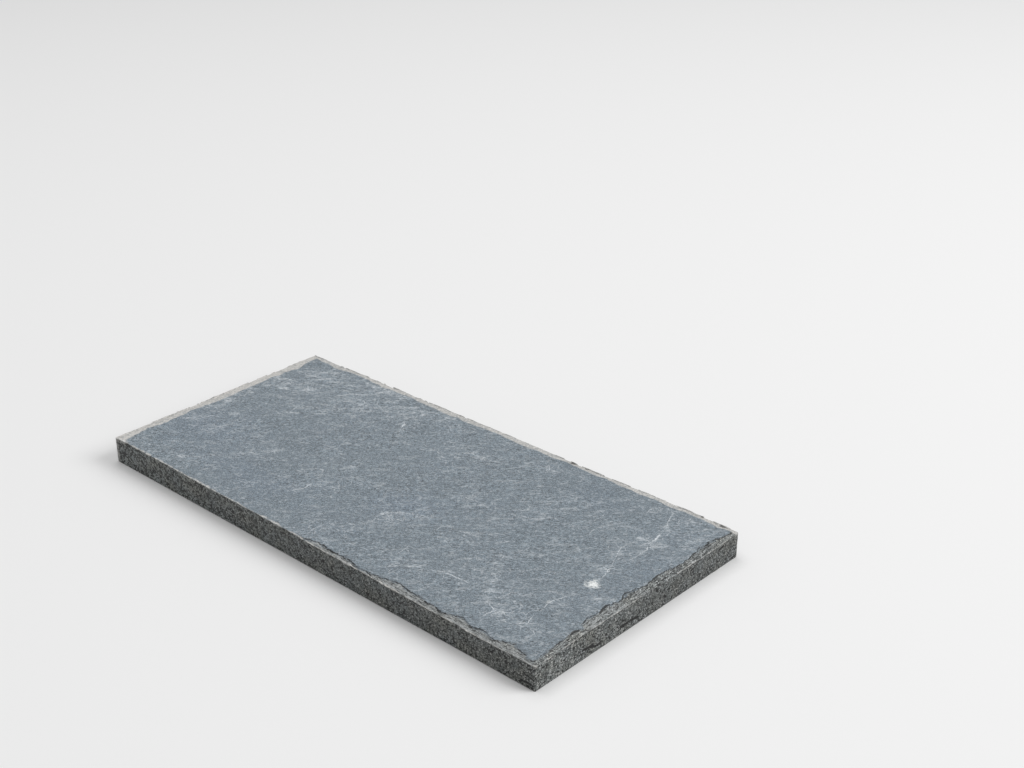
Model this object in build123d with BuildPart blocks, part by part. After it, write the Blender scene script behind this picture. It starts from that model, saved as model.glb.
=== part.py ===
"""Riven slate paving slab with sawn sides, chipped back in layers along its upper arrises."""
from build123d import *
from math import cos, exp, pi, radians, sin
import os

# Sold size of the slab
slab_length = 600.0
slab_width = 290.0
slab_thickness = 30.0

# Trimming leaves the left and the back side slightly out of square
left_front_inset = 4.0
back_left_inset = 8.0

# Wear of the upright corners and of the lower arris
corner_radius = 1.0
lower_arris_wear = 0.4

# Riven face: long low waves across the slab, added up
riven_relief = 1.6
riven_wave_lengths = (430.0, 265.0, 190.0, 150.0)
riven_wave_bearings = (58.0, 118.0, 24.0, 81.0)
riven_wave_shares = (1.0, 0.55, 0.4, 0.25)
riven_phase_shares = (0.12, 0.47, 0.81, 0.30)
riven_grid_pitch = 22.0
riven_grid_border = 30.0

# Wear that lowers the face towards its right corners: depth, reach along the slab and across it
front_right_wear = (2.5, 170.0, 60.0)
back_right_wear = (0.8, 60.0, 80.0)

# Layers of stone that the flakes break through, and how much of each is its steep riser
flaked_layers = 3
bruised_layers = 1
riser_share = 0.72
riser_lean_share = 0.05

# How far the cutters stand past the stone
cutter_overrun = 6.0

# Largest reach and drop of the flakes along each side
front_reach = 11.4
front_drop = 2.3
right_reach = 12.4
right_drop = 3.0
back_reach = 4.8
back_drop = 1.3
left_reach = 6.0
left_drop = 1.2

# Sections along each side: place, reach, drop and inner edge of the lowest ledge
front_shares = (
    (0.497, 0.13, 0.22, 0.50),
    (0.517, 0.40, 0.43, 0.50),
    (0.544, 0.61, 0.57, 0.55),
    (0.572, 0.49, 0.52, 0.42),
    (0.591, 0.55, 0.54, 0.60),
    (0.609, 0.61, 0.48, 0.48),
    (0.626, 0.24, 0.43, 0.50),
    (0.659, 0.22, 0.52, 0.50),
    (0.676, 0.63, 0.65, 0.38),
    (0.691, 0.63, 0.74, 0.52),
    (0.701, 0.82, 0.80, 0.44),
    (0.716, 0.90, 0.87, 0.60),
    (0.733, 0.68, 0.89, 0.48),
    (0.760, 0.61, 0.91, 0.55),
    (0.797, 0.46, 0.83, 0.50),
    (0.814, 0.47, 0.80, 0.44),
    (0.831, 0.67, 0.83, 0.40),
    (0.847, 0.88, 0.85, 0.58),
    (0.864, 0.52, 0.93, 0.50),
    (0.881, 0.69, 0.98, 0.44),
    (0.898, 0.70, 0.96, 0.56),
    (0.914, 0.48, 0.85, 0.60),
    (0.930, 0.91, 0.80, 0.42),
    (0.946, 1.00, 0.76, 0.52),
    (0.965, 0.88, 0.65, 0.56),
    (0.980, 0.53, 0.63, 0.50),
    (0.992, 0.44, 0.63, 0.50),
    (1.010, 0.44, 0.65, 0.50),
)
right_shares = (
    (-0.021, 0.45, 0.50, 0.50),
    (0.021, 0.45, 0.50, 0.50),
    (0.072, 0.56, 0.62, 0.42),
    (0.128, 0.70, 0.58, 0.55),
    (0.200, 0.69, 0.60, 0.60),
    (0.224, 0.49, 0.62, 0.50),
    (0.245, 0.85, 0.67, 0.44),
    (0.290, 0.93, 0.77, 0.52),
    (0.341, 0.97, 0.78, 0.60),
    (0.369, 1.00, 0.77, 0.48),
    (0.407, 0.59, 0.75, 0.40),
    (0.455, 0.83, 0.73, 0.55),
    (0.503, 0.76, 0.67, 0.46),
    (0.528, 0.48, 0.73, 0.60),
    (0.586, 0.65, 0.93, 0.50),
    (0.624, 0.77, 0.98, 0.38),
    (0.666, 0.44, 0.97, 0.50),
    (0.721, 0.33, 0.87, 0.58),
    (0.766, 0.54, 0.80, 0.46),
    (0.814, 0.68, 0.93, 0.54),
    (0.883, 0.73, 0.77, 0.48),
    (0.945, 0.66, 0.47, 0.50),
    (0.979, 0.40, 0.40, 0.50),
    (1.021, 0.37, 0.33, 0.50),
)
back_shares = (
    (-0.010, 0.80, 0.90, 0.50),
    (0.040, 1.00, 1.00, 0.56),
    (0.090, 0.75, 0.70, 0.44),
    (0.150, 0.45, 0.40, 0.50),
    (0.260, 0.85, 0.75, 0.42),
    (0.330, 1.00, 0.95, 0.52),
    (0.380, 0.55, 0.50, 0.48),
    (0.440, 0.30, 0.25, 0.50),
    (0.560, 0.85, 0.80, 0.44),
    (0.620, 0.60, 0.50, 0.50),
    (0.690, 0.90, 0.75, 0.56),
    (0.740, 0.70, 0.60, 0.46),
    (0.800, 0.95, 0.85, 0.52),
    (0.860, 0.65, 0.55, 0.60),
    (0.910, 0.85, 0.70, 0.44),
    (0.960, 0.50, 0.45, 0.50),
    (1.010, 0.70, 0.80, 0.50),
)
left_shares = (
    (-0.020, 0.80, 0.90, 0.50),
    (0.060, 0.42, 0.45, 0.55),
    (0.150, 0.55, 0.55, 0.45),
    (0.240, 0.80, 0.70, 0.52),
    (0.330, 0.92, 0.90, 0.60),
    (0.420, 0.72, 0.60, 0.48),
    (0.520, 0.80, 0.75, 0.55),
    (0.610, 0.92, 0.85, 0.42),
    (0.790, 0.70, 0.60, 0.58),
    (0.950, 0.95, 0.95, 0.50),
    (1.020, 1.00, 1.00, 0.50),
)

# Chips off two lower corners
chip_run = 7.0
chip_height = 4.5
chip_tip_share = 0.08

half_length = slab_length / 2
half_width = slab_width / 2


def spread(half_span, pitch):
    """Even stations from minus to plus half_span, at most one pitch apart."""
    count = int(2 * half_span / pitch) + 1
    return [half_span * (2 * index / count - 1) for index in range(count + 1)]


def riven_sum(x, y):
    """Sum of the riven waves at one point of the face."""
    waves = zip(riven_wave_lengths, riven_wave_bearings, riven_wave_shares, riven_phase_shares)
    total = 0
    for wave_length, bearing, wave_share, phase_share in waves:
        along = x * cos(radians(bearing)) + y * sin(radians(bearing))
        total += wave_share * sin(2 * pi * (along / wave_length + phase_share))
    return total


grid_xs = spread(half_length + riven_grid_border, riven_grid_pitch)
grid_ys = spread(half_width + riven_grid_border, riven_grid_pitch)
face_xs = [x for x in grid_xs if abs(x) < half_length - right_reach]
face_ys = [y for y in grid_ys if abs(y) < half_width - front_reach]
face_sums = [riven_sum(x, y) for x in face_xs for y in face_ys]
riven_scale = riven_relief / (max(face_sums) - min(face_sums))


def corner_wear(x, y):
    """Depth by which the worn corners lie below the riven waves."""
    total = 0
    for corner, (depth, length, width) in worn_corners:
        total += depth * exp(-(((x - corner.X) / length) ** 2) - ((y - corner.Y) / width) ** 2)
    return total


def face_height(x, y):
    """Height of the riven face above the underside."""
    return slab_thickness - riven_scale * (max(face_sums) - riven_sum(x, y)) - corner_wear(x, y)


def flake_section(layers, reach, drop, ledge_share):
    """Outline of a flake, measured in from the side and up from the arris."""
    points = [(-cutter_overrun, cutter_overrun)]
    for layer in range(layers):
        layer_edge = reach * (1 - (1 - ledge_share) * layer / max(layers - 1, 1))
        layer_top = -drop * layer / layers if layer else cutter_overrun
        riser_foot = -drop * (layer + riser_share) / layers
        points.append((layer_edge, layer_top))
        points.append((layer_edge - reach * riser_lean_share, riser_foot))
    return points + [(0, -drop), (-cutter_overrun, -drop)]


# Corners of the slab in plan, in order round it
front_left = Vector(-half_length + left_front_inset, -half_width)
front_right = Vector(half_length, -half_width)
back_right = Vector(half_length, half_width)
back_left = Vector(-half_length, half_width - back_left_inset)

worn_corners = ((front_right, front_right_wear), (back_right, back_right_wear))

flaked_sides = (
    (front_left, front_right, flaked_layers, front_reach, front_drop, front_shares),
    (front_right, back_right, flaked_layers, right_reach, right_drop, right_shares),
    (back_right, back_left, bruised_layers, back_reach, back_drop, back_shares),
    (back_left, front_left, bruised_layers, left_reach, left_drop, left_shares),
)

with BuildPart() as slate_slab:
    # Sawn blank, worn at its upright corners and its lower arris
    with BuildSketch():
        with BuildLine():
            Polyline(front_left, front_right, back_right, back_left, close=True)
        make_face()
    extrude(amount=slab_thickness + cutter_overrun)
    fillet(slate_slab.edges().filter_by(Axis.Z), corner_radius)
    chamfer(slate_slab.faces().sort_by(Axis.Z)[0].edges(), lower_arris_wear)

    # Split along the cleavage: the riven face is one wavy surface
    riven_rows = [[Vector(x, y, face_height(x, y)) for y in grid_ys] for x in grid_xs]
    split(bisect_by=Face.make_surface_from_array_of_points(riven_rows), keep=Keep.BOTTOM)

    # Flakes broken off the upper arrises, a step down at each layer of the stone
    for start, end, layers, reach, drop, side_shares in flaked_sides:
        along = (end - start).normalized()
        inward = Vector(0, 0, 1).cross(along)
        for place_share, reach_share, drop_share, ledge_share in side_shares:
            foot = start + (end - start) * place_share
            arris = Vector(foot.X, foot.Y, face_height(foot.X, foot.Y))
            section = flake_section(layers, reach * reach_share, drop * drop_share, ledge_share)
            with BuildSketch(Plane(origin=arris, x_dir=inward, z_dir=along)):
                with BuildLine():
                    Polyline(*section, close=True)
                make_face()
        loft(ruled=True, mode=Mode.SUBTRACT)

    # Chips off the lower corners at the left of the front and the right of the back
    run = chip_run + cutter_overrun
    for corner, turn in ((front_left, 0), (back_right, 180)):
        for height, tip_share in ((-cutter_overrun, 1), (chip_height, chip_tip_share)):
            with BuildSketch(Plane(origin=(corner.X, corner.Y, height)).rotated((0, 0, turn))):
                Polygon((-run, -run), (run * tip_share, -run), (-run, run * tip_share), align=None)
        loft(ruled=True, mode=Mode.SUBTRACT)

slate_slab.part.label = "slate_slab"
os.makedirs("parts", exist_ok=True)
export_step(slate_slab.part, "parts/slate_slab.step")
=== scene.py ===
"""Riven slate paving slab on a pale floor: relief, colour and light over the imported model."""
from math import cos, radians, sin
import bpy
import numpy as np
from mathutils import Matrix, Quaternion, Vector, geometry, kdtree
from mathutils.bvhtree import BVHTree
from numpy.linalg import norm


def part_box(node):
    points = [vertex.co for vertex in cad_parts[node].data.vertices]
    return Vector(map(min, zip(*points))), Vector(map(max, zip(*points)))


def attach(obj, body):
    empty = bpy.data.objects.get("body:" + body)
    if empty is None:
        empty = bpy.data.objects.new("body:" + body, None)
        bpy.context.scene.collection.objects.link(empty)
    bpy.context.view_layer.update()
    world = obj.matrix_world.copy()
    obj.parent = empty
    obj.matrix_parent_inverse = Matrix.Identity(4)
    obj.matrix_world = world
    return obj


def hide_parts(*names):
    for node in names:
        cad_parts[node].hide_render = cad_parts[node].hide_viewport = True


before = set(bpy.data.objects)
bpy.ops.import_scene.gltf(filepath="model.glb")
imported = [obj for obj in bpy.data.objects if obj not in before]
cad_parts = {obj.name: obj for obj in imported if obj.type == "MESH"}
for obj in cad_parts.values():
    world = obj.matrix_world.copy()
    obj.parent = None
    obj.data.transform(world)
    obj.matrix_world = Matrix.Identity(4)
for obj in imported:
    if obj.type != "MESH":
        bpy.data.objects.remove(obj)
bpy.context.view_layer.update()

MM = 0.001
slab_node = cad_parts["slate_slab"]
low, high = (np.array(corner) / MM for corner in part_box("slate_slab"))
slab_height = high[2]

# Plan of the slab in millimetres, as the model's source has it
left_front_inset = 4.0
back_left_inset = 8.0
corners = np.array([
    (low[0] + left_front_inset, low[1]),
    (high[0], low[1]),
    (high[0], high[1]),
    (low[0], high[1] - back_left_inset),
])

# Waves of the riven face, as the model's source has them
wave_lengths = (430.0, 265.0, 190.0, 150.0)
wave_bearings = (58.0, 118.0, 24.0, 81.0)
wave_shares = (1.0, 0.55, 0.4, 0.25)
wave_phase_shares = (0.12, 0.47, 0.81, 0.30)

# Wear of the right corners, from there too: corner, depth, reach along the slab and across it
worn_corners = ((1, 2.5, 170.0, 60.0), (2, 0.8, 60.0, 80.0))

# Mesh: columns round the slab, rows up its side, rows in from its arris, points inside
column_pitch = 1.35
wall_rows = 24
wall_crowding = 1.15
band_depth = 15.0
band_rows = 34
band_crowding = 1.35
face_pitch = 3.6
under_pitch = 30.0
grid_margin_share = 0.7
merge_distance = 1e-6
cast_distance = 30.0
skin = 0.02

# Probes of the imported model: stations on its open face, margin at the sides, drop taken for none
probe_stations = (np.arange(-260, 261, 20), np.arange(-110, 111, 20))
probe_margin = 0.1
least_drop = 0.12

# Ripples and scars of the riven face, in millimetres and shares of the ripples' height
cleavage_bearing = 42.0
ripple_height = 0.22
scar_share = 1.3
ripple_sink_share = 0.9
scar_levels = (0.1, 0.22)

# Ragged and notched edges of the flakes, and thin plates shed above them
wander_along = 3.2
wander_inward = 1.0
notch_depth = 1.0
ragged_run = 3.0
flake_growth = 0.2
shed_reach = 4.5
least_shed = 0.3
shed_flake_depths = (0.25, 0.5)
shed_depth = 0.4

# Terraces and roughness of the ledges: pairs of depths are start and full, pairs of shares least and gain
terrace_height = 0.5
terrace_riser_share = 0.2
terrace_plate_share = 0.4
terrace_noise_share = 0.3
terrace_depths = (0.2, 0.6)
terrace_full_depths = (0.6, 1.8)
terrace_share = 0.7
rough_depths = (0.35, 1.0)
rough_shares = (0.35, 0.65)
rough_run = 1.5
plate_relief = 0.42
grit_relief = 0.22

# Seam at the foot of the innermost step of the front and right ledges, a shallow groove darkened with painted
# shade, with such pairs too
seam_drop = 0.4
seam_flake_depths = (0.45, 1.0)
seam_levels = (-0.3, 0.15)
seam_shares = (0.55, 0.45)
seam_inner_width = 0.45
seam_outer_widths = (0.4, 1.9)
seam_least_width = 0.3
seam_reach_share = 0.25
seam_fullness = 1.25
seam_depth = 0.3
riser_offset = 0.15
riser_slopes = (0.7, 1.75)
edge_span = 0.6

# Wear and chalky crest of the arrises, with a painted highlight where the crest is strongest; a variation is
# middle, swing, least and most round the slab
width_levels = (-0.1, 0.6)
arris_wear = 0.7
wear_variation = (0.5, 0.8, 0.1, 1.3)
crest_reaches = (0.45, 1.8)
crest_reach_limit = 1.0
crest_fall_gain = 1.6
crest_variation = (0.85, 0.8, 0.2, 1.15)
front_crest_gains = (1.3, 0.8)
front_end_reach = 1.6
front_end_share = 0.2
cream_swing = 0.6

# Strength of the crest's chalky dust and painted highlight, depth read into the flakes and cream tint: front,
# right, back and left
crest_shares = (1.5, 0.8, 0.35, 0.9)
flake_gains = (1.7, 2.2, 1.6, 1.6)
cream_shares = (0.85, 0.2, 0.0, 0.9)

# Pits and cracks of the sides; the pits keep clear of the underside and of the arris
pit_depth = 0.35
pit_margins = (2.0, 1.5)
crack_depth = 0.5
crack_levels = (0.6, 0.9)

# Noise fields: how far each is drawn out along its first direction, pitch, seed and layers
noise_fields = {
    "ripples": (4, 14, 5, 3),
    "scars": (3, 38, 21, 3),
    "wander": (1, 11, 41, 3),
    "ragged edge": (1, 6, 47, 3),
    "shedding": (1, 16, 53, 3),
    "shed edge": (1, 4, 59, 3),
    "terraces": (3, 4, 73, 3),
    "grit": (2, 1.8, 37, 3),
    "seam strength": (1, 4, 101, 4),
    "seam width": (1, 8, 113, 4),
    "wear": (1, 5, 61, 4),
    "crest reach": (1, 12, 97, 4),
    "crest": (1, 13, 107, 4),
    "cream": (1, 24, 109, 4),
    "pits": (1, 3.2, 71, 2),
    "back bruise": (1, 19, 93, 4),
    "left bruise": (1, 19, 94, 4),
    "tips": (1, 3, 103, 3),
}

# Fields of broken plates, written the same way but without layers
plate_fields = {
    "notches": (1.7, 4.6, 43),
    "terraces": (4, 2.6, 67),
    "roughness": (3, 1.9, 31),
}

# Lattice of the noise: pitches after which it repeats, pitches to the slab's middle, sum of three layers
lattice_size = 256
lattice_shift = 100
layer_sum = 1.75
around_cell = [(di, dj) for di in (-1, 0, 1) for dj in (-1, 0, 1)]


def lattice_cells(x, y, pitch):
    """Places of points in a lattice, in pitches, and the cells that they lie in."""
    u = np.asarray(x) / pitch + lattice_shift
    v = np.asarray(y) / pitch + lattice_shift
    return u, v, np.floor(u).astype(int), np.floor(v).astype(int)


def lattice_noise(x, y, pitch, seed):
    """Smooth noise from -1 to 1 with features about one pitch wide."""
    table = np.random.default_rng(seed).uniform(-1, 1, (lattice_size, lattice_size))
    u, v, i, j = lattice_cells(x, y, pitch)
    s = (u - i) ** 2 * (3 - 2 * (u - i))
    t = (v - j) ** 2 * (3 - 2 * (v - j))
    i, next_i, j, next_j = (number % lattice_size for number in (i, i + 1, j, j + 1))
    near = table[i, j] * (1 - s) + table[next_i, j] * s
    far = table[i, next_j] * (1 - s) + table[next_i, next_j] * s
    return near * (1 - t) + far * t


def fractal_noise(x, y, pitch, seed, octaves):
    """Noise with finer and fainter layers added."""
    layers = [lattice_noise(x, y, pitch / 2 ** k, seed + k) / 2 ** k for k in range(octaves)]
    return sum(layers) / layer_sum


def field_noise(name, x, y):
    """One of the noise fields at points."""
    stretch, *settings = noise_fields[name]
    return fractal_noise(x / stretch, y, *settings)


def field_plates(name, x, y):
    """One of the plate fields: a level from -1 to 1 for each plate, which is about a pitch wide."""
    stretch, pitch, seed = plate_fields[name]
    table = np.random.default_rng(seed).uniform(0, 1, (lattice_size, lattice_size, 3))
    u, v, i, j = lattice_cells(x / stretch, y, pitch)
    nearest = np.full(u.shape, np.inf)
    level = np.zeros(u.shape)
    for di, dj in around_cell:
        centre = table[(i + di) % lattice_size, (j + dj) % lattice_size]
        distance = np.hypot(i + di + centre[..., 0] - u, j + dj + centre[..., 1] - v)
        level = np.where(distance < nearest, 2 * centre[..., 2] - 1, level)
        nearest = np.minimum(distance, nearest)
    return level


def smooth_step(start, end, value):
    """Share from 0 to 1 of the way between two edges, eased at both."""
    share = np.clip((value - start) / (end - start), 0, 1)
    return share * share * (3 - 2 * share)


def turned(x, y, bearing):
    """Distances along and across a bearing."""
    angle = radians(bearing)
    return x * cos(angle) + y * sin(angle), y * cos(angle) - x * sin(angle)


def wave_sum(x, y):
    """Sum of the riven face's waves at a point."""
    total = 0
    for length, bearing, share, phase in zip(wave_lengths, wave_bearings, wave_shares, wave_phase_shares):
        total = total + share * np.sin(2 * np.pi * (turned(x, y, bearing)[0] / length + phase))
    return total


def corner_wear(x, y):
    """Depth by which the corners' wear sinks them below the waves."""
    total = 0
    for number, depth, length, width in worn_corners:
        corner_x, corner_y = corners[number]
        total = total + depth * np.exp(-((x - corner_x) / length) ** 2 - ((y - corner_y) / width) ** 2)
    return total


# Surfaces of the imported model
packed_points = [slab_node.matrix_world @ vertex.co / MM for vertex in slab_node.data.vertices]
packed_faces = [tuple(face.vertices) for face in slab_node.data.polygons]
packed_tree = BVHTree.FromPolygons(packed_points, packed_faces)


def model_height(x, y):
    """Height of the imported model's upper surface."""
    hit = packed_tree.ray_cast(Vector((x, y, slab_height + cast_distance)), Vector((0, 0, -1)))
    return hit[0].z if hit[0] else np.nan


def heading(start, end):
    """Unit step from one point of the plan towards another."""
    return (end - start) / norm(end - start)


def sides(plan):
    """Start and end of each side of a plan."""
    return zip(plan, np.roll(plan, -1, axis=0))


side_lengths = [norm(end - start) for start, end in sides(corners)]
side_counts = [int(length / column_pitch) for length in side_lengths]
side_starts = np.cumsum([0, *side_counts])
side_headings = [heading(start, end) for start, end in sides(corners)]


def inset_plan(depth):
    """The plan's corners moved in by depth from both sides."""
    moved = []
    for corner, before, after in zip(corners, np.roll(side_headings, 1, axis=0), side_headings):
        turn = before[0] * after[1] - before[1] * after[0]
        moved.append(corner + (after - before) * depth / turn)
    return np.array(moved)


def ring(plan):
    """Points round a plan, the same number of them for every plan."""
    points = []
    for count, (start, end) in zip(side_counts, sides(plan)):
        points.extend(start + (end - start) * step / count for step in range(count))
    return np.array(points)


outside = ring(inset_plan(-cast_distance))
inner_ring = ring(inset_plan(band_depth))
columns = len(outside)
round_slab = np.arange(columns) * column_pitch
headings = (inner_ring - outside) / norm(inner_ring - outside, axis=1, keepdims=True)
sideways = np.stack([-headings[:, 1], headings[:, 0]], axis=1)


def wall_point(column, height):
    """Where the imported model's side stands in one column at a height."""
    start = Vector((*outside[column], height))
    hit = packed_tree.ray_cast(start, Vector((*headings[column], 0)))
    return np.array(hit[0][:2])


# Fit of the waves to the model's own face, away from the flakes
probe_x, probe_y = (grid.ravel() for grid in np.meshgrid(*probe_stations))
probe_z = np.array([model_height(x, y) for x, y in zip(probe_x, probe_y)])
wave_gain, wave_base = np.polyfit(wave_sum(probe_x, probe_y), probe_z + corner_wear(probe_x, probe_y), 1)


def smooth_face(x, y):
    """Height of the riven face as the model has it."""
    return wave_base + wave_gain * wave_sum(x, y) - corner_wear(x, y)


def face_height(x, y):
    """Height of the riven face, with low ripples drawn out along the cleavage."""
    along, across = turned(x, y, cleavage_bearing)
    ripples = field_noise("ripples", along, across)
    scars = smooth_step(*scar_levels, field_noise("scars", along, across))
    return smooth_face(x, y) + ripple_height * (ripples + scar_share * scars - ripple_sink_share)


def flake_depth(xy, shift):
    """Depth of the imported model's flakes below its face, looked up a shift further in, with some wander."""
    x, y = xy[..., 0], xy[..., 1]
    along_shift = wander_along * field_noise("wander", x, y)
    probe = xy + sideways * along_shift[..., None] + headings * shift[..., None]
    probe = np.clip(probe, low[:2] + probe_margin, high[:2] - probe_margin)
    heights = np.array([model_height(*point) for point in probe.reshape(-1, 2)]).reshape(x.shape)
    drop = smooth_face(probe[..., 0], probe[..., 1]) - heights
    return np.clip(np.nan_to_num(drop - least_drop), 0, None)


def broken(xy, along, inward):
    """Flakes with ragged, notched edges, thin plates shed above them, and rough ledges."""
    x, y = xy[..., 0], xy[..., 1]
    notches = notch_depth * field_plates("notches", along, inward)
    ragged = wander_inward * field_noise("ragged edge", x, y) + notches
    depth = flake_depth(xy, ragged * smooth_step(0, ragged_run, inward) - flake_growth)
    shed = shed_reach * field_noise("shedding", x, y) + wander_inward * field_noise("shed edge", x, y)
    shed_share = smooth_step(*shed_flake_depths, flake_depth(xy, -np.clip(shed, 0, None)))
    depth = np.maximum(depth, shed_depth * shed_share * (shed > least_shed))
    level = depth / terrace_height + terrace_plate_share * field_plates("terraces", along, inward)
    level = level + terrace_noise_share * field_noise("terraces", along, inward)
    terraces = np.floor(level) + smooth_step(0, terrace_riser_share, level - np.floor(level))
    terraces = np.maximum(terrace_height * terraces, 0) * smooth_step(*terrace_depths, depth)
    full_share = smooth_step(*terrace_full_depths, depth + terraces)
    depth = depth + terrace_share * (terraces - depth) * full_share
    least, gain = rough_shares
    ledge = smooth_step(*rough_depths, depth) * (least + gain * smooth_step(0, rough_run, inward))
    rough = plate_relief * field_plates("roughness", along, inward)
    rough = rough + grit_relief * field_noise("grit", along, inward)
    return np.maximum(depth + ledge * rough, 0)


# Band between the arris and the open face, with its rows closer together at the arris
band_shares = np.linspace(0, 1, band_rows) ** band_crowding
arris_xy = np.array([wall_point(column, slab_height / 2) for column in range(columns)])
band_xy = arris_xy + (inner_ring - arris_xy) * band_shares[:, None, None]
inward = norm(band_xy - arris_xy, axis=2)
along_band = np.tile(round_slab, (band_rows, 1))
band_flake = broken(band_xy, along_band, inward)


def line_noise(name):
    """One of the noise fields for each column round the slab."""
    return field_noise(name, round_slab, 0 * round_slab)


def varied(name, middle, swing, least, most):
    """A share for each column that swings round a middle value within limits."""
    return np.clip(middle + swing * line_noise(name), least, most)


def from_to(name, widths):
    """A width for each column, from one to the other of two as its noise rises."""
    return np.interp(line_noise(name), width_levels, widths)


def seam_share(depths, places):
    """Share from 0 to 1 to which each point of the band lies in the seam of its innermost step."""
    least, gain = seam_shares
    strength = smooth_step(*seam_flake_depths, depths.max(axis=0))
    strength = strength * (least + gain * smooth_step(*seam_levels, line_noise("seam strength")))
    strength[side_starts[2]:] = 0
    outer_width = from_to("seam width", seam_outer_widths)
    share = np.zeros_like(depths)
    for column in range(columns):
        deep_rows = np.flatnonzero(depths[:, column] > seam_drop)
        if len(deep_rows):
            reach = places[deep_rows[-1], column]
            offset = places[:, column] - reach - riser_offset
            widest = min(outer_width[column], seam_least_width + seam_reach_share * reach)
            width = np.where(offset > 0, seam_inner_width, widest)
            fullness = np.clip(seam_fullness * np.exp(-(offset / width) ** 2), 0, 1)
            share[:, column] = strength[column] * fullness
    return share


band_seam = seam_share(band_flake, inward)
wear = arris_wear * varied("wear", *wear_variation)
crest_reach = from_to("crest reach", crest_reaches)
crest_reach[side_starts[1]:] = np.minimum(crest_reach[side_starts[1]:], crest_reach_limit)
crest_share = np.repeat(crest_shares, side_counts) * varied("crest", *crest_variation)
cream_share = varied("cream", np.repeat(cream_shares, side_counts), cream_swing, 0, 1)
flake_gain = np.repeat(flake_gains, side_counts)

# The front's crest, with its chalky dust and painted highlight, is stronger and wider towards its left end
front = slice(side_starts[0], side_starts[1])
front_run = np.linspace(0, 1, side_counts[0])
crest_share[front] *= np.interp(front_run, (0, 1), front_crest_gains)
crest_reach[front] += front_end_reach * smooth_step(front_end_share, 0, front_run)

# Height of the band, worn down at its arris
band_z = face_height(band_xy[..., 0], band_xy[..., 1]) - band_flake - seam_depth * band_seam
band_z = band_z - wear * np.exp(-inward / crest_reach)
band_z = np.minimum(band_z, slab_height - skin)

# How far each point of the band lies below or above the line between its neighbours
band_hollow = np.zeros_like(band_z)
for column in range(columns):
    place, height = inward[:, column], band_z[:, column]
    outer = np.interp(place - edge_span, place, height)
    inner = np.interp(place + edge_span, place, height)
    band_hollow[:, column] = (outer + inner) / 2 - height
band_slope = np.gradient(band_z, axis=0) / np.gradient(inward, axis=0)
band_riser = smooth_step(*riser_slopes, band_slope)

# How far the level of a crack takes to fall from 1 to 0, and how far inside its edge that starts
crack_reach = 4.0
crack_core = 0.9

# Cracks and chips of the sides: side number, half width, points along that side and up it
cracks = (
    (0, 1.0, (580, 4.6), (586, 5.4), (592, 5.0), (598, 4.4)),
    (0, 0.9, (587, 2.2), (597, 1.5)),
    (0, 0.8, (582, 14.2), (590, 12), (597.7, 9.8)),
    (0, 1.0, (545, 15.6), (550, 20.2)),
    (0, 0.9, (506, 17.8), (508.5, 17.4)),
    (0, 0.9, (561, 19.4), (563.5, 18.8)),
    (0, 0.9, (523, 10), (527, 8.8)),
    (0, 1.3, (545.5, 16.5), (547.5, 16.5)),
    (0, 0.9, (10.4, 28.2), (17.6, 28.4), (28.2, 27.4)),
    (0, 0.8, (17.6, 28.4), (23.2, 20.2)),
    (1, 1.3, (61.8, 9.7), (71.2, 9.0), (80.8, 5.0), (86.2, 6.4)),
    (1, 1.7, (72.5, 8.0), (77.5, 6.2)),
    (1, 1.2, (113.5, 7.8), (119.3, 8.4), (129.3, 7.6), (137.9, 6.5)),
    (1, 1.8, (115.5, 7.8), (118.5, 7.4)),
    (1, 1.7, (133.5, 7.4), (137, 6.6)),
    (1, 1.2, (91.8, 10.3), (93.8, 10.3)),
    (1, 1.0, (280.9, 2.3), (292.3, 3.8)),
    (1, 0.9, (112.5, 16), (119.5, 11.6)),
    (1, 1.2, (163, 24), (164, 21.5)),
    (1, 1.1, (181.5, 15.2), (183.5, 14.6)),
    (1, 1.4, (175.5, 10.3), (178.5, 8.8)),
    (1, 1.2, (216, 18.6), (218.5, 19.3)),
    (1, 1.1, (245.5, 7.9), (247.5, 7.5)),
    (1, 1.4, (260, 21), (266, 22.5)),
    (1, 1.0, (256, 10), (259, 8.5)),
    (1, 0.9, (202, 20.5), (203.5, 19.5)),
)


def segment_distance(points, start, end):
    """Distance from each point to a straight segment."""
    run = np.subtract(end, start)
    offset = points - start
    share = np.clip(offset @ run / (run @ run), 0, 1)
    return norm(offset - share[..., None] * run, axis=-1)


def crack_share(heights):
    """Level of the cracks at each point of the sides, from 0 well away to 1 in their middle."""
    share = np.zeros_like(heights)
    for side, half_width, *path in cracks:
        run = slice(side_starts[side], side_starts[side + 1])
        place = np.arange(side_counts[side]) * side_lengths[side] / side_counts[side] + 0 * heights[:, run]
        points = np.stack([place, heights[:, run]], axis=-1)
        for start, end in zip(path, path[1:]):
            outside_core = segment_distance(points, start, end) - half_width + crack_core
            share[:, run] = np.maximum(share[:, run], 1 - np.clip(outside_core, 0, None) / crack_reach)
    return share


# Side, from the underside up to the arris
wall_shares = 1 - (1 - np.linspace(0, 1, wall_rows + 1)[:-1]) ** wall_crowding
wall_z = wall_shares[:, None] * band_z[0]
below_arris = band_z[0] - wall_z
wall_xy = np.array([[wall_point(column, max(z, skin)) for column, z in enumerate(row)] for row in wall_z])
pits = 0.5 + 0.5 * field_noise("pits", np.tile(round_slab, (wall_rows, 1)), wall_z)
pits = pit_depth * pits * smooth_step(0, pit_margins[0], wall_z)
pits = pits * smooth_step(0, pit_margins[1], below_arris)
wall_crack = crack_share(wall_z)
wall_xy = wall_xy + headings * (pits + crack_depth * smooth_step(*crack_levels, wall_crack))[..., None]


def inside_plan(points, plan, margin=0.0):
    """Which points lie inside a plan, by more than a margin."""
    kept = np.ones(len(points), bool)
    for start, end in sides(plan):
        side = heading(start, end)
        kept &= side[0] * (points[:, 1] - start[1]) - side[1] * (points[:, 0] - start[0]) > margin
    return kept


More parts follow.
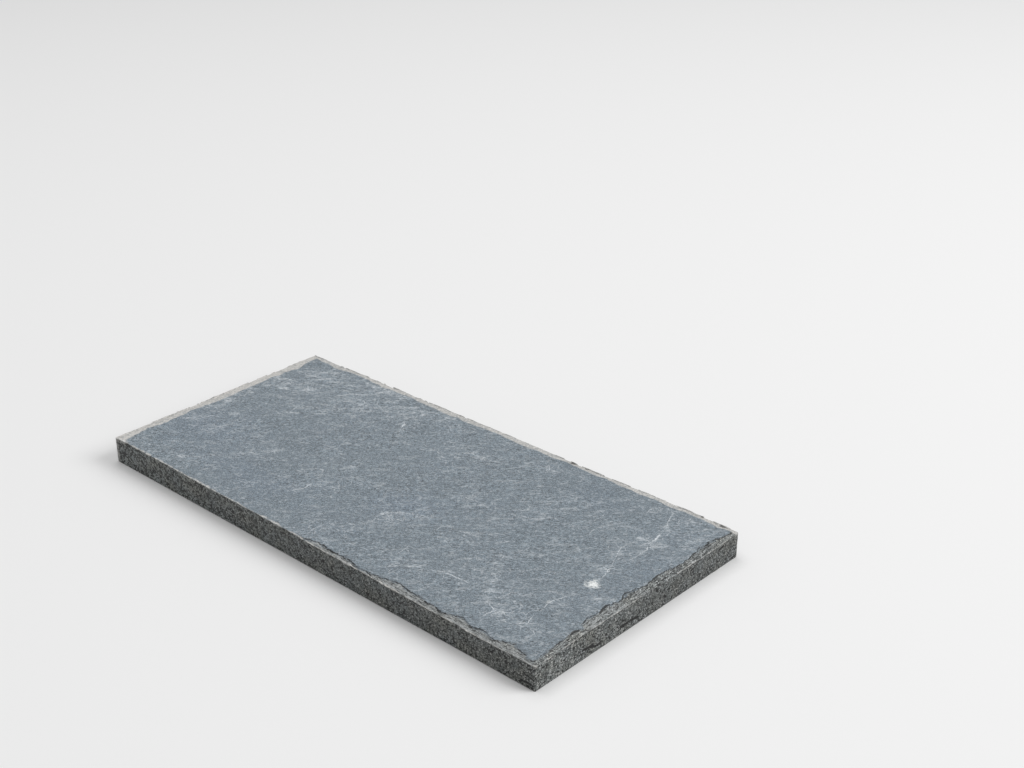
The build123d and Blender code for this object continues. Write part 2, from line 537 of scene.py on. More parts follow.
def inside_points(plan, pitch):
    """A staggered grid of points inside a plan."""
    margin = pitch * grid_margin_share
    xs = np.arange(plan[:, 0].min() + margin, plan[:, 0].max() - margin, pitch)
    ys = np.arange(plan[:, 1].min() + margin, plan[:, 1].max() - margin, pitch * cos(radians(30)))
    grid_x, grid_y = np.meshgrid(xs, ys)
    grid_x = grid_x + np.where(np.arange(len(ys)) % 2, pitch / 2, 0)[:, None]
    points = np.stack([grid_x.ravel(), grid_y.ravel()], axis=1)
    return points[inside_plan(points, plan, margin)]


# Vertices with what the material needs to know of them, one row each
KEYS = (
    "x", "y", "z", "side", "flake", "hollow", "worn", "riser", "seam",
    "cream", "crack", "bruise", "vein", "haze", "blue", "run", "level",
)
blocks = []
faces = []


def add_block(xy, **values):
    """Adds vertices and returns the number of the first."""
    first = sum(len(block) for block in blocks)
    block = np.zeros((len(xy), len(KEYS)))
    block[:, :2] = xy
    for key, value in values.items():
        block[:, KEYS.index(key)] = value
    blocks.append(block)
    return first


def fill(boundary, boundary_first, points, points_first, flip=False):
    """Triangles over a closed ring and the points inside it."""
    places = [Vector(point) for point in np.concatenate([boundary, points])]
    edges = [(index, (index + 1) % columns) for index in range(columns)]
    for face in geometry.delaunay_2d_cdt(places, edges, [], 1, merge_distance)[2]:
        numbers = [boundary_first + k if k < columns else points_first + k - columns for k in face]
        faces.append(numbers[::-1] if flip else numbers)


# White veins of the face: half width, strength, then points from the front left corner
veins = (
    (0.8, 0.55, (535, 281), (535, 274), (536, 269), (539, 262),
     (541, 256), (544, 252), (546, 247), (549, 238)),
    (1.5, 1.00, (549, 236), (550, 230), (552, 223), (552, 214)),
    (0.9, 0.75, (552, 214), (554, 208), (557, 204), (557, 197)),
    (0.8, 0.50, (557, 197), (558, 190), (557, 180), (556, 174), (552, 171)),
    (0.8, 0.50, (551, 213), (549, 208), (547, 203)),
    (0.8, 0.60, (538, 196), (538, 188), (540, 183), (543, 177), (546, 171), (547, 167)),
    (0.7, 0.60, (547, 167), (550, 162), (552, 155), (555, 148), (557, 140), (558, 132)),
    (0.6, 0.40, (551, 252), (551, 262), (552, 267), (557, 268)),
    (0.8, 0.50, (507, 213), (502, 208), (498, 203), (498, 196), (500, 187)),
    (0.7, 0.45, (487, 227), (489, 221), (488, 214), (486, 205)),
    (0.7, 0.60, (513, 286), (514, 275), (514, 263), (516, 255)),
    (0.7, 0.40, (455, 234), (462, 231), (468, 225)),
    (0.8, 0.75, (433, 43), (450, 49), (458, 50), (468, 51), (479, 51.5)),
    (0.6, 0.45, (446, 82), (450, 74), (453, 64), (455, 54)),
    (0.8, 0.55, (466, 108), (468, 103), (470, 97), (470, 88)),
    (0.8, 0.60, (519, 70), (514, 66), (512, 61), (512, 55), (509, 51), (504, 52)),
    (0.8, 0.65, (505, 41), (512, 39), (521, 36), (519, 30), (518, 23)),
    (0.6, 0.40, (521, 37), (530, 38), (541, 37)),
    (0.6, 0.35, (523, 14), (521, 6)),
    (0.9, 0.55, (554, 100), (552, 88), (549, 80), (549, 74), (551, 60)),
    (0.8, 0.55, (551, 54), (553, 45), (556, 39), (553, 34)),
    (0.7, 0.45, (557, 37), (566, 35), (570, 33), (569, 27)),
    (0.7, 0.50, (400, 107), (409, 109), (418, 112), (427, 113)),
    (0.7, 0.50, (355, 158), (366, 158), (380, 160), (396, 161)),
    (0.8, 0.60, (322, 226), (333, 231), (344, 235)),
    (0.6, 0.45, (355, 227), (364, 240), (370, 252)),
    (0.7, 0.50, (383, 265), (388, 259), (392, 254)),
    (0.6, 0.40, (424, 272), (427, 262), (432, 255)),
    (0.8, 0.55, (331, 78), (340, 79), (347, 83), (353, 86), (350, 92)),
    (0.9, 0.60, (334, 84), (341, 81), (346, 80)),
    (0.7, 0.45, (385, 92), (389, 96), (389, 101)),
    (0.8, 0.55, (168, 248), (184, 256), (204, 264), (226, 275)),
    (0.9, 0.75, (201, 234), (207, 229), (211, 220)),
    (0.8, 0.65, (223, 54), (231, 55), (235, 62), (234, 76)),
    (0.7, 0.50, (90, 186), (91, 174), (95, 163), (99, 155), (96, 152)),
    (0.7, 0.50, (66, 152), (74, 153), (86, 155), (98, 156)),
    (0.6, 0.40, (40, 125), (50, 124), (62, 122), (68, 124)),
    (0.6, 0.40, (205, 127), (215, 133), (223, 127)),
    (0.7, 0.40, (76, 19), (90, 23), (106, 32), (121, 39)),
    (0.6, 0.35, (300, 30), (312, 43)),
    (0.7, 0.45, (12, 242), (20, 249), (30, 257), (39, 265)),
    (0.6, 0.45, (61, 233), (68, 231), (75, 236)),
    (0.7, 0.50, (124, 236), (130, 239), (136, 236), (144, 227)),
)

# Fine short veins strewn over the pale clouds, fewer of them towards the right
fine_vein_count = 100
fine_vein_area = ((18, 18), (582, 272))
fine_vein_share = 1.15
fine_vein_draw = 0.45
fine_vein_bends = 2
fine_vein_lengths = (5.0, 30.0)
fine_vein_strengths = (0.2, 0.6)
fine_vein_width = 0.6
fine_vein_spread = 32.0

# Veins as rows of vertices: their step, wander and taper, and how close other vertices come
vein_seed = 83
vein_step = 1.8
vein_wander = 0.5
vein_taper_shares = (0.12, 0.88)
vein_clearance = 1.3
vein_gap = 0.15

# Side branches that the veins put out, and how much finer they are
branch_spacing = 16.0
branch_lengths = (4.0, 15.0)
branch_turns = (25.0, 70.0)
branch_share = 0.6

# Pale clouds of the face: strength, middle, half length, half width, bearing
clouds = (
    (0.75, (133, 233), 13, 8, -30), (0.6, (28, 203), 30, 12, 15), (0.5, (60, 215), 34, 10, 20),
    (0.6, (195, 254), 38, 9, 25), (0.45, (130, 262), 40, 14, 25), (0.45, (45, 250), 40, 14, 35),
    (0.35, (300, 222), 26, 16, 20), (0.45, (432, 185), 20, 13, 70), (0.25, (110, 210), 60, 26, 30),
    (0.55, (340, 86), 17, 9, 30), (0.2, (481, 62), 24, 14, 10), (0.35, (390, 255), 14, 9, 60),
    (0.45, (580, 238), 10, 19, 0), (0.25, (545, 36), 28, 12, 5), (0.4, (137, 74), 15, 7, 20),
    (0.4, (40, 88), 30, 17, 10), (0.2, (575, 112), 9, 22, 0), (0.4, (130, 272), 14, 9, 0),
    (0.25, (546, 185), 14, 34, 0), (0.4, (17, 145), 14, 30, 0), (0.3, (95, 22), 26, 9, 20),
    (0.3, (230, 120), 34, 12, 25), (0.35, (560, 275), 12, 7, 0), (0.3, (412, 40), 26, 12, 20),
)

# Bluer patches of the face, written the same way
blue_patches = (
    (1.0, (45, 80), 60, 42, 0), (0.9, (175, 42), 80, 26, 5), (0.9, (335, 108), 44, 24, 30),
    (0.5, (580, 170), 16, 60, 0), (0.5, (470, 250), 40, 24, 0),
)

# Glow round the veins: how far it reaches, its share of the haze, and the steps between its stations
glow_reach = 4.5
glow_share = 0.4
glow_stride = 3


def wandering(path, rng):
    """A path divided into short steps, each point set off a little to one side."""
    points = [np.array(path[0], float)]
    for start, end in zip(path, path[1:]):
        run = np.subtract(end, start)
        count = max(1, round(norm(run) / vein_step))
        across = np.array([-run[1], run[0]]) / norm(run)
        for step in range(1, count + 1):
            points.append(start + run * step / count + across * rng.uniform(-vein_wander, vein_wander))
    return np.array(points)


def branching(path, half_width, strength, rng):
    """A vein with the finer branches that it puts out."""
    points = wandering(path, rng)
    strands = [(points, half_width, strength)]
    for _ in range(int(len(points) * vein_step / branch_spacing + rng.uniform(0, 1))):
        start = rng.integers(1, len(points)) - 1
        run = points[start + 1] - points[start]
        length = rng.uniform(*branch_lengths)
        turn = radians(rng.uniform(*branch_turns)) * rng.choice((-1, 1))
        away = np.array([run[0] * cos(turn) - run[1] * sin(turn), run[0] * sin(turn) + run[1] * cos(turn)])
        end = points[start] + away / norm(away) * length
        branch = wandering((points[start], end), rng)
        strands.append((branch, half_width * branch_share, strength * branch_share))
    return strands


def fine_vein(rng):
    """One short vein in a few straight parts, which starts where the clouds are dense enough."""
    while True:
        start = rng.uniform(*fine_vein_area)
        density = cloud_level(start[None] + low[:2], clouds)[0]
        if density * (fine_vein_share - start[0] / side_lengths[0]) > rng.uniform(0, fine_vein_draw):
            break
    path = [start]
    for _ in range(fine_vein_bends):
        bearing = radians(cleavage_bearing + rng.normal(0, fine_vein_spread))
        step = np.array([cos(bearing), sin(bearing)]) * rng.uniform(*fine_vein_lengths) / fine_vein_bends
        path.append(path[-1] + step)
    return wandering(path, rng), fine_vein_width, rng.uniform(*fine_vein_strengths)


def vein_strands():
    """Every vein and branch of the face, with its points in the slab's own frame."""
    rng = np.random.default_rng(vein_seed)
    strands = []
    for half_width, strength, *path in veins:
        strands.extend(branching(path, half_width, strength, rng))
    strands.extend(fine_vein(rng) for _ in range(fine_vein_count))
    return [(points + low[:2], half_width, strength) for points, half_width, strength in strands]


def vein_vertices(strands):
    """Points along the middle and both sides of each strand, with the vein's strength at each."""
    places, levels = [], []
    for points, half_width, strength in strands:
        run = np.gradient(points, axis=0)
        across = np.stack([-run[:, 1], run[:, 0]], axis=1) / norm(run, axis=1)[:, None]
        taper = np.sin(np.pi * np.linspace(*vein_taper_shares, len(points)))
        for side in (0, -half_width, half_width):
            places.append(points + across * side)
            levels.append(strength * taper * (side == 0))
    return np.concatenate(places), np.concatenate(levels)


def thinned(points, gap):
    """Which points to keep so that none lies within a gap of an earlier one."""
    taken = set()
    kept = np.zeros(len(points), bool)
    for index, (i, j) in enumerate(np.floor(points / gap).astype(int)):
        if not {(i + di, j + dj) for di, dj in around_cell} & taken:
            taken.add((i, j))
            kept[index] = True
    return kept


def cloud_level(points, table):
    """Sum at each point of the soft clouds of a table."""
    level = np.zeros(len(points))
    for strength, middle, half_length, half_width, bearing in table:
        along, across = turned(*(points - low[:2] - middle).T, bearing)
        level = level + strength * np.exp(-(along / half_length) ** 2 - (across / half_width) ** 2)
    return level


def haze_level(points, strands):
    """Paleness of the face at each point: the glow round its veins and its pale clouds."""
    glow = np.zeros(len(points))
    for strand, half_width, strength in strands:
        for start, end in zip(strand[::glow_stride], strand[glow_stride::glow_stride]):
            distance = segment_distance(points, start, end)
            glow = np.maximum(glow, strength * np.exp(-(distance / glow_reach) ** 2))
    return np.clip(glow_share * glow + cloud_level(points, clouds), 0, 1)


def near_any(points, others, distance):
    """Which points lie within a distance of any of the others."""
    tree = kdtree.KDTree(len(others))
    for index, other in enumerate(others):
        tree.insert((*other, 0), index)
    tree.balance()
    return np.array([tree.find((*point, 0))[2] < distance for point in points])


# Pale bruised strips along the back and left arrises: side number, width, noise field of the edge
bruises = ((2, 8.0, "back bruise"), (3, 12.5, "left bruise"))
bruise_middle_share = 0.9
bruise_swing_share = 0.4
bruise_blur = 0.7
bruise_heights = (3.0, 0.5)

# Pale tips and uprights of the four corners; the strongest upright also gets the crest's painted highlight
tip_reaches = (15.0, 3.0, 4.5, 5.0)
tip_wander = 2.5
tip_blur = 2.0
upright_reaches = (5.0, 2.8, 2.8, 2.8)
upright_shares = (1.0, 0.35, 0.5, 0.5)


def bruise_share(xy):
    """Share from 0 to 1 to which each of a row of points is in the bruised strips or tips."""
    share = np.zeros(columns)
    for side, width, field in bruises:
        run = side_headings[side]
        offset = xy - corners[side]
        place = offset @ run
        edge = width * (bruise_middle_share + bruise_swing_share * field_noise(field, place, 0 * place))
        distance = run[0] * offset[:, 1] - run[1] * offset[:, 0]
        share = np.maximum(share, smooth_step(edge + bruise_blur, edge - bruise_blur, distance))
    for corner, reach in zip(corners, tip_reaches):
        distance = np.hypot(*(xy - corner).T) + tip_wander * field_noise("tips", *xy.T)
        share = np.maximum(share, smooth_step(reach, reach - tip_blur, distance))
    return share


# Vertices of the side and of the band, row by row, and the faces between the rows
row_firsts = []
for row in range(wall_rows):
    worn = crest_share * np.exp(-crest_fall_gain * below_arris[row] / crest_reach)
    for corner, share, reach in zip(corners, upright_shares, upright_reaches):
        distance = np.hypot(*(wall_xy[row] - corner).T)
        worn = np.maximum(worn, share * np.exp(-(distance / reach) ** 2))
    bruise = bruise_share(wall_xy[row]) * smooth_step(*bruise_heights, below_arris[row])
    row_firsts.append(add_block(
        wall_xy[row], z=wall_z[row], side=1, worn=worn, crack=wall_crack[row], bruise=bruise,
        cream=cream_share, run=round_slab * MM, level=-below_arris[row] * MM,
    ))
for row in range(band_rows):
    worn = crest_share * np.exp(-inward[row] / crest_reach)
    row_firsts.append(add_block(
        band_xy[row], z=band_z[row], flake=flake_gain * band_flake[row], hollow=band_hollow[row],
        worn=worn, riser=band_riser[row], seam=band_seam[row], cream=cream_share,
        bruise=bruise_share(band_xy[row]), run=round_slab * MM, level=inward[row] * MM,
    ))
for lower, upper in zip(row_firsts, row_firsts[1:]):
    for column in range(columns):
        after = (column + 1) % columns
        faces.append((lower + column, lower + after, upper + after, upper + column))

# The open face, with vertices along its veins
strands = vein_strands()
vein_xy, vein_levels = vein_vertices(strands)
strongest_first = np.argsort(-vein_levels, kind="stable")
vein_xy, vein_levels = vein_xy[strongest_first], vein_levels[strongest_first]
used = inside_plan(vein_xy, inset_plan(band_depth + vein_clearance)) & thinned(vein_xy, vein_gap)
vein_xy, vein_levels = vein_xy[used], vein_levels[used]
face_xy = inside_points(inset_plan(band_depth), face_pitch)
face_xy = face_xy[~near_any(face_xy, vein_xy, vein_clearance)]
face_xy = np.concatenate([face_xy, vein_xy])
face_levels = np.concatenate([np.zeros(len(face_xy) - len(vein_xy)), vein_levels])
face_z = np.minimum(face_height(*face_xy.T), slab_height - skin)
fill(inner_ring, row_firsts[-1], face_xy, add_block(face_xy, z=face_z, vein=face_levels))

# The underside
under_points = inside_points(inset_plan(band_depth), under_pitch)
fill(wall_xy[0], row_firsts[0], under_points, add_block(under_points, side=1), flip=True)


def placed(name, data):
    """A new object in the scene."""
    made = bpy.data.objects.new(name, data)
    bpy.context.collection.objects.link(made)
    return made


# The mesh with its attributes
table = np.concatenate(blocks)
on_top = table[:, KEYS.index("side")] == 0
table[on_top, KEYS.index("haze")] = haze_level(table[on_top, :2], strands)
table[on_top, KEYS.index("blue")] = np.clip(cloud_level(table[on_top, :2], blue_patches), 0, 1)
slab_data = bpy.data.meshes.new("riven_slab")
slab_data.from_pydata((table[:, :3] * MM).tolist(), [], faces)
slab_data.update()
slab_data.shade_smooth()
for name in KEYS[3:]:
    attribute = slab_data.attributes.new(name, "FLOAT", "POINT")
    attribute.data.foreach_set("value", table[:, KEYS.index(name)].astype(np.float32))
slab = placed("riven_slab", slab_data)
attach(slab, "root")
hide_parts("slate_slab")


class Nodes:
    """Short names for the shader nodes that the materials are made of."""

    def __init__(self, material):
        material.use_nodes = True
        self.tree = material.node_tree
        self.tree.nodes.clear()

    def add(self, kind, inputs=(), **settings):
        made = self.tree.nodes.new("ShaderNode" + kind)
        for name, value in settings.items():
            setattr(made, name, value)
        for key, value in dict(inputs).items():
            if isinstance(value, bpy.types.NodeSocket):
                self.tree.links.new(value, made.inputs[key])
            else:
                made.inputs[key].default_value = value
        return made

    def math(self, operation, a, b=0.0):
        return self.add("Math", {0: a, 1: b}, operation=operation).outputs[0]

    def times(self, a, b):
        return self.math("MULTIPLY", a, b)

    def plus(self, a, b):
        return self.math("ADD", a, b)

    def larger(self, a, b):
        return self.math("MAXIMUM", a, b)

    def span(self, value, *levels):
        """A value clamped between two levels and carried over to 0 and 1, or to two more levels."""
        names = ("Value", "From Min", "From Max", "To Min", "To Max")
        return self.add("MapRange", dict(zip(names, (value, *levels))), clamp=True).outputs[0]

    def noise(self, place, *settings):
        """Cloudy noise of a scale, detail, roughness and, where it is given, distortion."""
        names = ("Vector", "Scale", "Detail", "Roughness", "Distortion")
        return self.add("TexNoise", dict(zip(names, (place, *settings)))).outputs["Fac"]

    def vectors(self, operation, a, b):
        return self.add("VectorMath", {0: a, 1: b}, operation=operation)

    def axis(self, place, number):
        return self.add("SeparateXYZ", {"Vector": place}).outputs[number]

    def mix(self, share, a, b, blend="MIX"):
        colours = {0: share, 6: a, 7: b}
        return self.add("Mix", colours, data_type="RGBA", blend_type=blend).outputs[2]

    def attribute(self, name):
        return self.add("Attribute", attribute_name=name).outputs["Fac"]

    def surface(self, shader):
        self.add("OutputMaterial", {"Surface": shader.outputs[0]})


def grey(level, tint=(1, 1, 1)):
    """A colour of one level, tinted."""
    return (*(level * share for share in tint), 1)


# Tints of the stone
slate_blue = (0.815, 1.0, 1.185)
slate_grey = (0.835, 1.005, 1.145)
bare_stone = (0.95, 1.015, 0.985)
pale_vein = (0.91, 1.0, 1.08)
white_vein = (0.95, 1.0, 1.04)
chalk = (0.98, 1.0, 0.985)
pale_ledge = (0.955, 1.0, 1.01)
cream_stone = (1.025, 1.0, 0.955)

# Colours of the riven face
face_grey = grey(0.233, slate_grey)
face_blue = grey(0.229, slate_blue)
fleck_colour = grey(0.52, pale_vein)
vein_colour = grey(0.78, white_vein)
spot_colour = grey(0.98, chalk)

# Colours of the broken stone: its grains, layers, dark and pale blots, and warm and cool patches
darkest_grain = grey(0.056, bare_stone)
palest_grain = grey(0.332, bare_stone)
black_grain = grey(0.015, bare_stone)
white_grain = grey(0.58, chalk)
dark_layer = grey(0.03, bare_stone)
dark_blot = grey(0.025, bare_stone)
pale_blot = grey(0.42, bare_stone)
warm_patch = grey(1.0, (1.02, 1.0, 0.955))
cool_patch = grey(1.0, (0.97, 1.0, 1.035))

# Colours of the ledges: the pale ones are partly the broken stone's own colour and partly painted light that
# lifts the steep ledges, and the riser colour is painted shade
cream_ledge = grey(0.36, pale_ledge)
light_ledge = grey(0.45, pale_ledge)
blue_ledge = grey(0.23, slate_blue)
fissure_colour = grey(0.05, bare_stone)
painted_riser_shade = grey(0.035, bare_stone)

# Colours of the seams' painted shade, the sides' painted shade, cracks, the dust of the arrises and their
# painted highlight
painted_seam_shade = grey(0.014, bare_stone)
shade_colour = grey(0.02, bare_stone)
crack_colour = grey(0.009, bare_stone)
grey_dust = grey(0.36, chalk)
cream_dust = grey(0.48, cream_stone)
pale_dust = grey(0.68, cream_stone)
painted_crest_highlight = grey(0.85, chalk)

# Places and sizes in the shader: ends of the slab, where its sides' shade is full, crazing, grit
slab_ends = (-300 * MM, 300 * MM)
shade_end = 20 * MM
craze_wander = 16 * MM
grit_height = 0.5 * MM
grit_strength = 0.7
stone_roughness = 0.6

# White spots of the face: place from the front left corner, reach, strength
spots = (((558.5, 124.0), 11.0, 0.9), ((547.5, 76.5), 4.5, 0.35))


def split_face(n, place, drawn_out, vein, haze, blue):
    """Colour of the riven face: clouds, fibres along the cleavage, grain, haze and white veins."""
    hue = n.plus(blue, n.span(n.noise(place, 25, 3, 0.6), 0.3, 0.7, -0.3, 0.3))
    colour = n.mix(hue, face_grey, face_blue)
    broad = n.span(n.noise(drawn_out, 45, 4, 0.6, 0.4), 0.3, 0.7, -1, 1)
    mottle = n.span(n.noise(place, 150, 3, 0.6), 0.3, 0.7, -1, 1)
    fibres = n.math("POWER", n.span(n.noise(drawn_out, 760, 3, 0.7, 0.2), 0.32, 0.68), 1.5)
    grain = n.math("POWER", n.span(n.noise(place, 1040, 2, 0.6), 0.32, 0.68), 1.5)
    tone = n.plus(n.times(broad, 0.05), n.times(mottle, 0.1))
    tone = n.plus(tone, n.times(fibres, 0.72))
    along = n.axis(place, 0)
    tone = n.plus(tone, n.times(grain, n.span(along, *slab_ends, 1.5, 0.95)))
    tone = n.plus(tone, n.span(along, *slab_ends, 0.1, 0.29))
    tone_colour = n.add("CombineColor", {0: tone, 1: tone, 2: tone}).outputs[0]
    colour = n.mix(1.0, colour, tone_colour, "MULTIPLY")

    flecks = n.span(n.noise(drawn_out, 620, 2, 0.6), 0.56, 0.7, 0, 0.7)
    colour = n.mix(flecks, colour, fleck_colour)
    mist = n.times(haze, n.span(n.noise(drawn_out, 380, 4, 0.75, 0.5), 0.42, 0.62))
    colour = n.mix(n.times(mist, 0.4), colour, fleck_colour)

    warp = n.add("TexNoise", {"Vector": place, "Scale": 90, "Detail": 4}).outputs["Color"]
    warp = n.vectors("SUBTRACT", warp, (0.5, 0.5, 0.5)).outputs[0]
    warp = n.add("VectorMath", {0: warp, "Scale": craze_wander}, operation="SCALE").outputs[0]
    warped = {"Vector": n.vectors("ADD", place, warp).outputs[0], "Scale": 62}
    cells = n.add("TexVoronoi", warped, feature="DISTANCE_TO_EDGE").outputs[0]
    crazed_where = n.plus(n.span(n.noise(place, 26, 3, 0.6), 0.48, 0.68), n.times(haze, 1.2))
    crazed = n.times(n.span(cells, 0.005, 0.04, 1, 0), n.span(crazed_where, 0.1, 0.9))
    crazed = n.times(crazed, n.span(n.noise(place, 200, 3, 0.7), 0.42, 0.58))

    ridge = n.math("ABSOLUTE", n.math("SUBTRACT", n.noise(drawn_out, 75, 5, 0.62, 0.6), 0.5))
    fine_ridge = n.math("ABSOLUTE", n.math("SUBTRACT", n.noise(drawn_out, 170, 4, 0.6, 0.4), 0.5))
    wisps = n.larger(n.span(ridge, 0.003, 0.018, 1, 0), n.span(fine_ridge, 0.004, 0.03, 0.75, 0))
    wisps = n.times(wisps, n.span(n.noise(drawn_out, 130, 3, 0.7), 0.48, 0.6))
    wisps = n.times(wisps, n.span(haze, 0.0, 0.4, 0.45, 1))

    patchy = n.span(n.noise(place, 260, 4, 0.7), 0.34, 0.58, 0.2, 1)
    line = n.span(n.times(vein, patchy), 0.05, 0.5)
    share = n.larger(n.times(line, 0.9), n.times(crazed, 0.5))
    share = n.larger(share, n.times(wisps, 0.85))
    flat = n.add("Mapping", {"Vector": place, "Scale": (1, 1, 0)}).outputs[0]
    fluff = n.noise(place, 420, 4, 0.75)
    spot = 0.0
    for (x, y), reach, strength in spots:
        middle = ((x + low[0]) * MM, (y + low[1]) * MM, 0)
        distance = n.vectors("DISTANCE", flat, middle).outputs["Value"]
        level = n.plus(n.span(distance, 0, reach * MM, 0.42, -0.3), n.times(fluff, 1.6))
        spot = n.larger(spot, n.span(level, 0.72, 1.12, 0, strength))
    colour = n.mix(share, colour, vein_colour)
    return n.mix(spot, colour, spot_colour)


def grains(n, place, scale):
    """A random level for each mineral grain."""
    cells = n.add("TexVoronoi", {"Vector": place, "Scale": scale}).outputs["Color"]
    return n.add("SeparateColor", {"Color": cells}).outputs[0]


def broken_stone(n, place, layers):
    """Colour of bare broken stone: dark and pale grains, in faint layers, cooler and warmer in patches."""
    fine = grains(n, place, 1000)
    coarse = grains(n, place, 640)
    clumps = n.noise(place, 170, 3, 0.6)
    colour = n.mix(fine, darkest_grain, palest_grain)
    dark = n.plus(coarse, n.span(clumps, 0.3, 0.7, 0.2, -0.2))
    colour = n.mix(n.span(dark, 0.25, 0.3, 1, 0), colour, black_grain)
    colour = n.mix(n.span(fine, 0.86, 0.9, 0, 0.95), colour, white_grain)
    bedding = n.times(n.span(n.noise(layers, 330, 3, 0.6), 0.43, 0.36), n.span(clumps, 0.5, 0.6))
    colour = n.mix(n.times(bedding, 0.6), colour, dark_layer)
    far = n.span(n.axis(place, 0), *slab_ends, 0.95, 0)
    blots = grains(n, place, 470)
    colour = n.mix(n.times(far, n.span(blots, 0.24, 0.28, 1, 0)), colour, dark_blot)
    colour = n.mix(n.times(far, n.span(blots, 0.8, 0.85, 0, 0.9)), colour, pale_blot)
    hue = n.mix(n.span(n.noise(place, 45, 3, 0.6), 0.36, 0.64), warm_patch, cool_patch)
    return n.mix(1.0, colour, hue, "MULTIPLY")


def ledge_stone(n, place, layers, bare, flake, riser, cream):
    """Colour of the flaked ledges: blue near the face, pale broken stone below it partly brightened as
    painted light, painted shade on each step's riser.
    """
    patches = n.noise(layers, 230, 4, 0.65)
    # The pale ledge colours are partly painted light, lifting the steep ledges as if they faced up
    pale = n.mix(n.times(cream, 0.55), bare, cream_ledge)
    light = n.times(n.span(patches, 0.47, 0.55), n.span(cream, 0.0, 0.8, 0.2, 0.7))
    pale = n.mix(light, pale, light_ledge)
    blue = n.mix(0.6, bare, blue_ledge)
    deep = n.plus(flake, n.span(patches, 0.36, 0.64, -0.6, 0.6))
    colour = n.mix(n.span(deep, 1.1, 1.5), blue, pale)
    fissures = n.noise(layers, 560, 3, 0.7, 0.6)
    colour = n.mix(n.span(fissures, 0.43, 0.37, 0, 0.85), colour, fissure_colour)
    # Painted shade on the steep risers of the steps
    dark = n.times(n.span(riser, 0.3, 0.7), n.span(n.noise(place, 210, 3, 0.6), 0.4, 0.5, 0.1, 0.9))
    return n.mix(dark, colour, painted_riser_shade)


def slate_material():
    """The stone, from its place on the slab and the mesh's attributes."""
    material = bpy.data.materials.new("riven_slate")
    n = Nodes(material)
    place = n.add("TexCoord").outputs["Object"]
    turn = {"Vector": place, "Rotation": (0, 0, -radians(cleavage_bearing))}
    drawn_out = n.add("Mapping", turn).outputs[0]
    drawn_out = n.add("Mapping", {"Vector": drawn_out, "Scale": (0.4, 1, 1)}).outputs[0]
    side, flake, hollow, worn, riser, seam, cream = (n.attribute(name) for name in KEYS[3:10])
    crack, bruise, vein, haze, blue, run, level = (n.attribute(name) for name in KEYS[10:])
    layers = n.add("CombineXYZ", {0: n.times(run, 0.28), 1: level}).outputs[0]

    bare = broken_stone(n, place, layers)
    ledge = ledge_stone(n, place, layers, bare, flake, riser, cream)
    face = split_face(n, place, drawn_out, vein, haze, blue)
    colour = n.mix(n.span(flake, 0.45, 0.7), face, ledge)
    # Painted shade: darker in the ledges' hollows and along the seams at the foot of their steps
    frayed = n.plus(seam, n.span(n.noise(place, 420, 3, 0.7), 0.3, 0.7, -0.2, 0.2))
    dark = n.larger(n.span(hollow, 0.06, 0.2, 0, 0.8), n.span(frayed, 0.3, 0.6, 0, 0.9))
    colour = n.mix(dark, colour, painted_seam_shade)
    shade = n.span(n.axis(place, 1), low[1] * MM, shade_end, 0.0, 0.3)
    colour = n.mix(side, colour, n.mix(shade, bare, shade_colour))
    ragged = n.plus(crack, n.span(n.noise(place, 480, 3, 0.7), 0.3, 0.7, -0.16, 0.16))
    colour = n.mix(n.span(ragged, 0.76, 0.84), colour, crack_colour)
    dusty = n.mix(cream, grey_dust, cream_dust)
    chalky = n.mix(n.span(n.noise(place, 500, 3, 0.6), 0.35, 0.65), dusty, pale_dust)
    speckle = n.noise(place, 260, 4, 0.7)
    crest = n.times(n.span(worn, 0.3, 0.6), n.span(speckle, 0.4, 0.56, 0.05, 0.85))
    pale = n.larger(crest, n.times(bruise, n.span(speckle, 0.34, 0.5, 0.45, 0.95)))
    colour = n.mix(pale, colour, chalky)
    # Painted highlight: a near-white line where the crest's level is highest, over its chalky dust
    painted_highlight = n.times(crest, n.span(worn, 0.85, 1.4, 0, 0.75))
    colour = n.mix(painted_highlight, colour, painted_crest_highlight)

    grit = n.noise(place, 900, 3, 0.7)
    ripple = n.noise(drawn_out, 240, 4, 0.6, 0.3)
    relief = n.plus(n.times(grit, 0.5), ripple)
    bump = n.add("Bump", {"Height": relief, "Strength": grit_strength, "Distance": grit_height})
    looks = {"Base Color": colour, "Roughness": stone_roughness, "Normal": bump.outputs[0]}
    n.surface(n.add("BsdfPrincipled", looks))
    return material


slab_data.materials.append(slate_material())

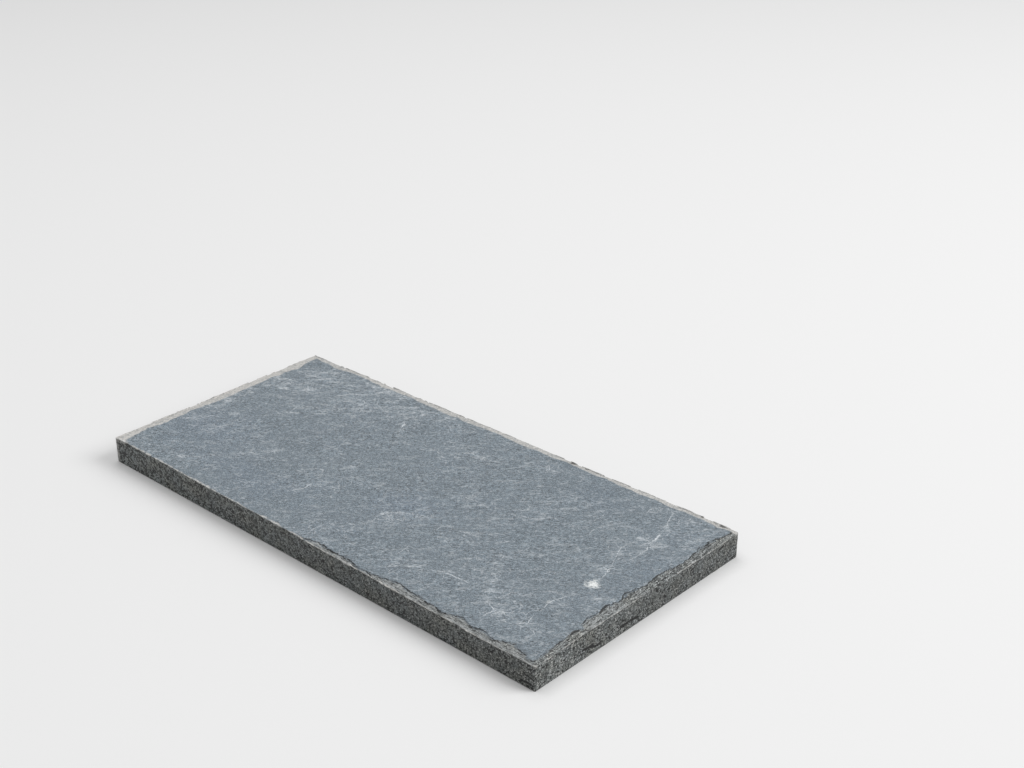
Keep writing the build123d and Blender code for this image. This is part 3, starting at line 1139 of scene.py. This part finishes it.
# Studio: floor, its greys to the camera and to other light, lamps with place, size and power, and sky
floor_size = 14.0
floor_seen = 0.88
floor_bounce = 0.32
lamps = (("key", (4.55, 2.9, 4.4), 4.0, 268), ("overhead", (-1.2, 0.3, 5.8), 4.7, 138))
sky_strength = 0.33


def floor_material():
    """Floor that is pale to the camera and darker to the light that it throws back."""
    material = bpy.data.materials.new("studio_floor")
    n = Nodes(material)
    rays = n.add("LightPath").outputs
    seen = n.larger(rays["Is Camera Ray"], rays["Is Glossy Ray"])
    n.surface(n.add("BsdfDiffuse", {"Color": n.mix(seen, grey(floor_bounce), grey(floor_seen))}))
    return material


bpy.ops.mesh.primitive_plane_add(size=floor_size)
floor = bpy.context.object
floor.name = "studio_floor"
floor.data.materials.append(floor_material())


def area_light(name, place, size, power):
    """A square lamp that faces the slab."""
    data = bpy.data.lights.new(name, "AREA")
    data.size = size
    data.energy = power
    lamp = placed(name, data)
    lamp.location = place
    lamp.rotation_euler = (-Vector(place)).to_track_quat("-Z", "Y").to_euler()


for lamp_values in lamps:
    area_light(*lamp_values)

scene = bpy.context.scene
world = bpy.data.worlds.new("studio")
scene.world = world
world.use_nodes = True
background = world.node_tree.nodes["Background"].inputs
background["Color"].default_value = grey(1.0)
background["Strength"].default_value = sky_strength

# Camera of the photograph, fitted to the slab's straight edges: metres, degrees, pixels and millimetres
camera_place = (0.9981, -0.9375, 0.7883)
camera_heading = 132.42
camera_dip = 25.53
camera_roll = 0.2
focal_pixels = 1553
shift_pixels = (-0.9, 0.5)
photo_width = 1024
sensor_width = 36.0
camera_data = bpy.data.cameras.new("photo_camera")
camera_data.sensor_width = sensor_width
camera_data.lens = focal_pixels / photo_width * sensor_width
camera_data.shift_x, camera_data.shift_y = (shift / photo_width for shift in shift_pixels)
camera = placed("photo_camera", camera_data)
camera.location = camera_place
bearing, dip = radians(camera_heading), radians(camera_dip)
look = Vector((cos(dip) * cos(bearing), cos(dip) * sin(bearing), -sin(dip)))
turn = look.to_track_quat("-Z", "Y") @ Quaternion((0, 0, 1), radians(camera_roll))
camera.rotation_euler = turn.to_euler()
scene.camera = camera
scene.view_settings.view_transform = "Standard"
